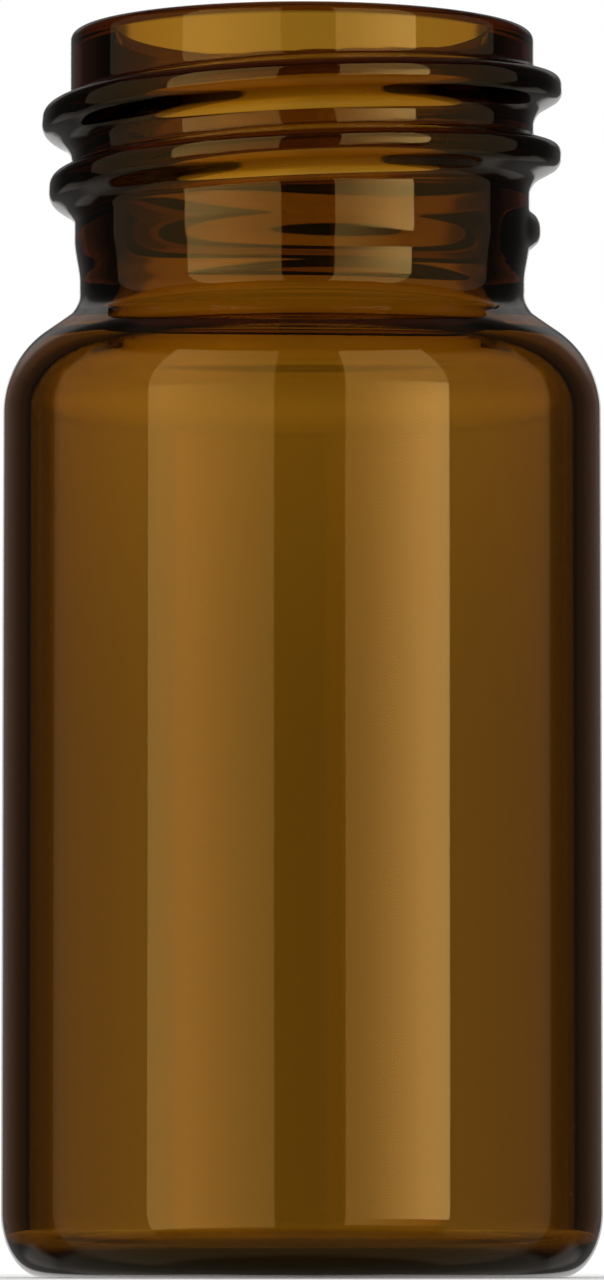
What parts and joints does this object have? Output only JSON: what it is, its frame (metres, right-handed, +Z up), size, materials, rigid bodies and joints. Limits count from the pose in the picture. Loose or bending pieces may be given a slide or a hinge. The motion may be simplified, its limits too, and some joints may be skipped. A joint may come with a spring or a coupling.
{
  "type": "glass sample vial",
  "caption": "Cylindrical amber glass sample vial with a domed base, a round shoulder and a screw-thread neck, open at the mouth.",
  "frame": {"origin": "middle of the ring that the vial stands on, at the level of the surface it stands on", "axes": "+Z up along the vial's axis, towards the mouth; the lower end of the thread starts 32 degrees clockwise of +X seen from above; -Y is the front"},
  "size_m": [0.0274, 0.0274, 0.0573],
  "materials": {
    "amber_glass": "clear, fire-polished, amber through its thickness"
  },
  "bodies": {
    "root": {"vial": "amber_glass"}
  },
  "joints": []
}
